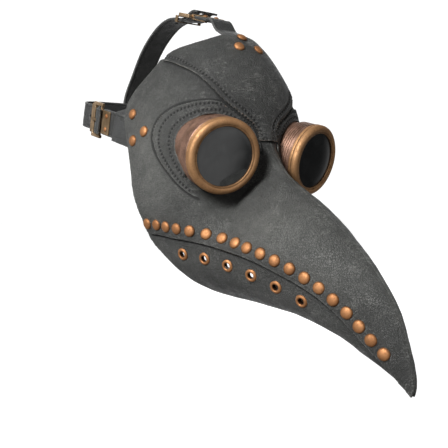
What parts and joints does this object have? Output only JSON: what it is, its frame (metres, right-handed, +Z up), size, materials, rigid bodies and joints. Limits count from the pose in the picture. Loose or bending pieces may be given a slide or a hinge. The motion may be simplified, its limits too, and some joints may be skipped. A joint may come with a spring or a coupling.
{
  "type": "plague doctor mask",
  "caption": "Leather beak mask with screw-in goggles, riveted mouth seam and vent eyelets, held by buckled straps round the back and over the crown.",
  "frame": {"origin": "centre of the wearer's head at eye level, on the mirror plane", "axes": "+Z up, -Y forward along the beak, +X towards the wearer's left; mirror-symmetric about X = 0"},
  "size_m": [0.1576, 0.3675, 0.3037],
  "materials": {
    "shell_leather": "fine-grained charcoal leather with a soft sheen and worn edges",
    "strap_leather": "dark waxed strap leather",
    "copper": "antique copper plate, worn bright on the domes",
    "bezel_copper": "satin antique copper, darker in the groove",
    "aged_copper": "worn pinkish-brown patinated bronze",
    "bronze": "antique bronze, bright on raised edges",
    "smoked_glass": "dark smoked, glossy",
    "black_rubber": "matte"
  },
  "bodies": {
    "mask": {"back_strap": "strap_leather", "crown_buckle_plate": "bronze", "crown_strap": "strap_leather", "crown_tab": "strap_leather", "forehead_panel": "shell_leather", "forehead_rivets": "copper", "left_beak_rivets": "copper", "left_buckle_plate": "bronze", "left_eye_collar": "shell_leather", "left_eyecup": "aged_copper", "left_eyelets": "copper", "left_gasket": "black_rubber", "left_side_panel": "shell_leather", "left_strap_tab": "strap_leather", "left_temple_rivets": "copper", "lower_panel": "shell_leather", "plate_rivets": "copper", "right_beak_rivets": "copper", "right_buckle_plate": "bronze", "right_eye_collar": "shell_leather", "right_eyecup": "aged_copper", "right_eyelets": "copper", "right_gasket": "black_rubber", "right_side_panel": "shell_leather", "right_strap_tab": "strap_leather", "right_temple_rivets": "copper", "strap_rivets": "copper"},
    "right_buckle_frame": {"right_buckle_frame": "bronze"},
    "right_buckle_prong": {"right_buckle_prong": "bronze"},
    "right_buckle_keeper": {"right_buckle_keeper": "bronze"},
    "left_buckle_frame": {"left_buckle_frame": "bronze"},
    "left_buckle_prong": {"left_buckle_prong": "bronze"},
    "left_buckle_keeper": {"left_buckle_keeper": "bronze"},
    "crown_buckle_frame": {"crown_buckle_frame": "bronze"},
    "crown_buckle_prong": {"crown_buckle_prong": "bronze"},
    "crown_buckle_keeper": {"crown_buckle_keeper": "bronze"},
    "right_lens": {"right_lens": "smoked_glass"},
    "right_bezel": {"right_bezel": "bezel_copper"},
    "left_lens": {"left_lens": "smoked_glass"},
    "left_bezel": {"left_bezel": "bezel_copper"}
  },
  "joints": [
    {"name": "right_frame_hinge", "type": "hinge", "parent": "mask", "child": "right_buckle_frame", "pos_m": [-0.071, 0.0375, 0.0384], "axis": [0, -0.2385, 0.9711], "range_deg": [-1.2, 0]},
    {"name": "right_prong_hinge", "type": "hinge", "parent": "right_buckle_frame", "child": "right_buckle_prong", "pos_m": [-0.071, 0.0375, 0.0384], "axis": [0, -0.2385, 0.9711], "range_deg": [0, 14]},
    {"name": "right_keeper_slide", "type": "slide", "parent": "mask", "child": "right_buckle_keeper", "axis": [0.0175, 0.971, 0.2385], "range_m": [-0.002, 0.004]},
    {"name": "left_frame_hinge", "type": "hinge", "parent": "mask", "child": "left_buckle_frame", "pos_m": [0.071, 0.0375, 0.0384], "axis": [0, 0.2385, -0.9711], "range_deg": [-1.2, 0]},
    {"name": "left_prong_hinge", "type": "hinge", "parent": "left_buckle_frame", "child": "left_buckle_prong", "pos_m": [0.071, 0.0375, 0.0384], "axis": [0, 0.2385, -0.9711], "range_deg": [0, 14]},
    {"name": "left_keeper_slide", "type": "slide", "parent": "mask", "child": "left_buckle_keeper", "axis": [-0.0175, 0.971, 0.2385], "range_m": [-0.002, 0.004]},
    {"name": "crown_frame_hinge", "type": "hinge", "parent": "mask", "child": "crown_buckle_frame", "pos_m": [0, -0.021, 0.1305], "axis": [1, 0, 0], "range_deg": [-1.2, 0]},
    {"name": "crown_prong_hinge", "type": "hinge", "parent": "crown_buckle_frame", "child": "crown_buckle_prong", "pos_m": [0, -0.021, 0.1305], "axis": [1, 0, 0], "range_deg": [0, 14]},
    {"name": "crown_keeper_slide", "type": "slide", "parent": "mask", "child": "crown_buckle_keeper", "axis": [0, 0.9563, 0.2924], "range_m": [-0.002, 0.004]},
    {"name": "right_lens_slide", "type": "slide", "parent": "mask", "child": "right_lens", "axis": [-0.2091, -0.943, -0.2588], "range_m": [0, 0.003]},
    {"name": "right_bezel_turn", "type": "hinge", "parent": "right_lens", "child": "right_bezel", "pos_m": [-0.049, -0.119, -0.001], "axis": [-0.2091, -0.943, -0.2588], "range_deg": [0, 720]},
    {"name": "left_lens_slide", "type": "slide", "parent": "mask", "child": "left_lens", "axis": [0.2091, -0.943, -0.2588], "range_m": [0, 0.003]},
    {"name": "left_bezel_turn", "type": "hinge", "parent": "left_lens", "child": "left_bezel", "pos_m": [0.049, -0.119, -0.001], "axis": [0.2091, -0.943, -0.2588], "range_deg": [0, 720]}
  ],
  "couplings": [
    {"joint": "right_lens_slide", "follows": "right_bezel_turn", "m_per_rad": 0.00023873},
    {"joint": "left_lens_slide", "follows": "left_bezel_turn", "m_per_rad": 0.00023873}
  ]
}
